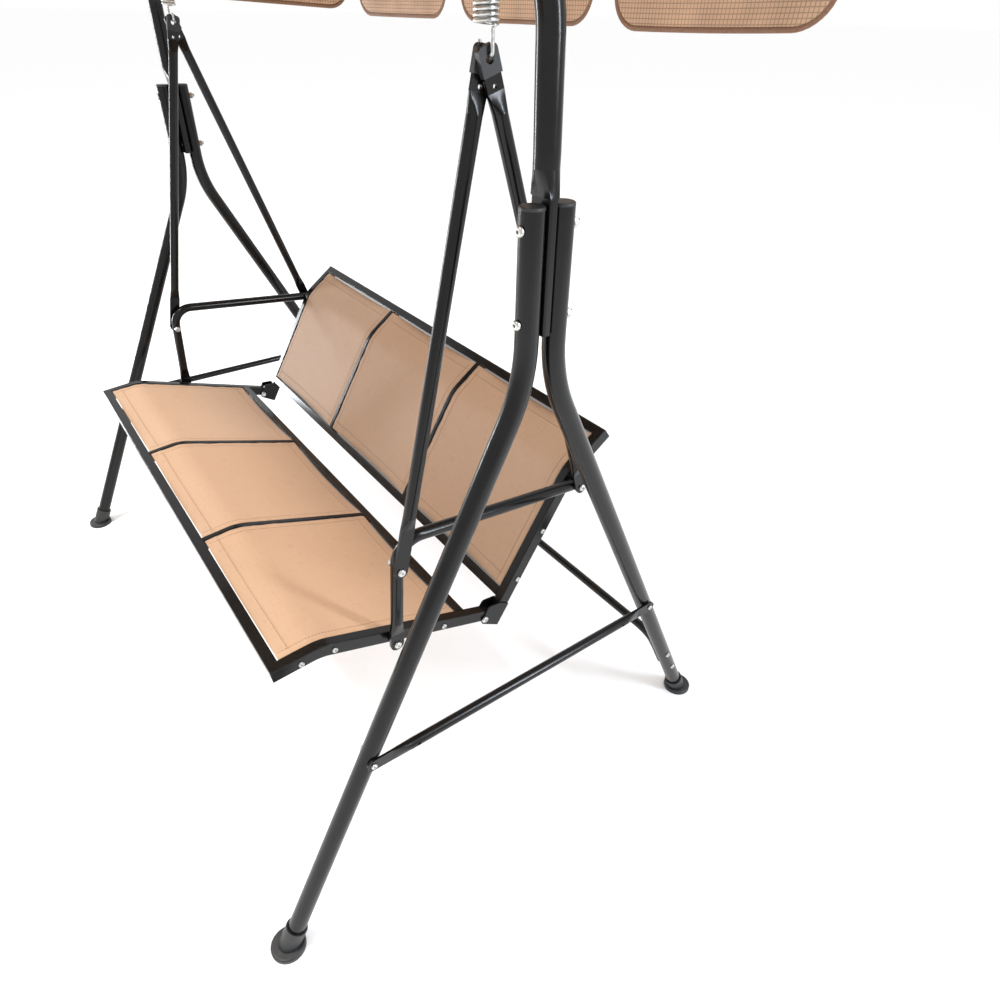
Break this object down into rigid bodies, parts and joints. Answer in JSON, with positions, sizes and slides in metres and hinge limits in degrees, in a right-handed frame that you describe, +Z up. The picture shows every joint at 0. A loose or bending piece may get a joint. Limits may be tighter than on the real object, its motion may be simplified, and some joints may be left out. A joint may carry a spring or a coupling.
{
  "type": "glider swing",
  "caption": "Canopy patio swing: bent-tube stand, fabric sling seat and back on a swinging frame hung from springs, tilting cloth roof.",
  "frame": {"origin": "on the ground, under the middle of the whole swing", "axes": "+Z up; -Y the way a sitter faces; +X the sitter's left"},
  "size_m": [1.59, 1.0818, 1.546],
  "materials": {
    "black_paint": "satin powder coat",
    "zinc": "bright zinc plate",
    "black_plastic": "fine grained",
    "sling_cloth": "open woven outdoor mesh",
    "canopy_cloth": "light woven canopy cloth"
  },
  "bodies": {
    "stand": {"leg_front_left": "black_paint", "leg_front_right": "black_paint", "leg_rear_left": "black_paint", "leg_rear_right": "black_paint", "feet": "black_plastic", "leg_plugs": "black_plastic", "upright_left": "black_paint", "upright_right": "black_paint", "crossbar": "black_paint", "side_brace_left": "black_paint", "side_brace_right": "black_paint", "rear_bar": "black_paint", "leg_bolts": "zinc", "brace_bolts": "zinc", "stand_nuts": "zinc", "spring_eyes": "zinc", "canopy_brackets": "black_paint"},
    "spring_left": {"spring_coil_left": "zinc", "spring_top_hook_left": "zinc"},
    "spring_right": {"spring_coil_right": "zinc", "spring_top_hook_right": "zinc"},
    "hook_left": {"spring_low_hook_left": "zinc"},
    "hook_right": {"spring_low_hook_right": "zinc"},
    "seat": {"hanger_front_left": "black_paint", "hanger_front_right": "black_paint", "hanger_rear_left": "black_paint", "hanger_rear_right": "black_paint", "hanger_sleeves": "black_plastic", "arm_left": "black_paint", "arm_right": "black_paint", "arm_plugs": "black_plastic", "arm_spacers": "black_paint", "arm_bolts": "zinc", "arm_nuts": "zinc", "seat_rail_left": "black_paint", "seat_rail_right": "black_paint", "seat_front_rail": "black_paint", "seat_rear_rail": "black_paint", "seat_dividers": "black_paint", "seat_sling_left": "sling_cloth", "seat_sling_middle": "sling_cloth", "seat_sling_right": "sling_cloth", "back_rail_left": "black_paint", "back_rail_right": "black_paint", "back_top_rail": "black_paint", "back_low_rail": "black_paint", "back_dividers": "black_paint", "back_sling_left": "sling_cloth", "back_sling_middle": "sling_cloth", "back_sling_right": "sling_cloth", "hinge_plates": "black_paint", "rail_screws": "zinc"},
    "canopy": {"canopy_end_bars": "black_paint", "canopy_long_bars": "black_paint", "canopy_top": "canopy_cloth", "valance_front": "canopy_cloth", "valance_rear": "canopy_cloth", "valance_ends": "canopy_cloth", "canopy_knobs": "black_plastic", "canopy_pivot_bolts": "zinc"}
  },
  "joints": [
    {"name": "canopy_tilt", "type": "hinge", "parent": "stand", "child": "canopy", "pos_m": [0.718, 0, 1.506], "axis": [1, 0, 0], "range_deg": [-9, 14]},
    {"name": "spring_swing_left", "type": "hinge", "parent": "stand", "child": "spring_left", "pos_m": [0.637, 0, 1.44], "axis": [1, 0, 0], "range_deg": [-10, 10]},
    {"name": "spring_swing_right", "type": "hinge", "parent": "stand", "child": "spring_right", "pos_m": [-0.637, 0, 1.44], "axis": [1, 0, 0], "range_deg": [-10, 10]},
    {"name": "spring_stretch_left", "type": "slide", "parent": "spring_left", "child": "hook_left", "axis": [0, 0, -1], "range_m": [-0.005, 0.03], "stiffness_N_per_m": 60000, "springref_m": -0.002, "deforming": ["spring_coil_left"]},
    {"name": "spring_stretch_right", "type": "slide", "parent": "spring_right", "child": "hook_right", "axis": [0, 0, -1], "range_m": [-0.005, 0.03], "deforming": ["spring_coil_right"]},
    {"name": "seat_swing", "type": "hinge", "parent": "hook_left", "child": "seat", "pos_m": [0.637, 0, 1.339], "axis": [1, 0, 0], "range_deg": [-20, 20]}
  ],
  "couplings": [
    {"joint": "spring_swing_right", "follows": "spring_swing_left", "ratio": 1},
    {"joint": "spring_stretch_right", "follows": "spring_stretch_left", "ratio": 1}
  ]
}
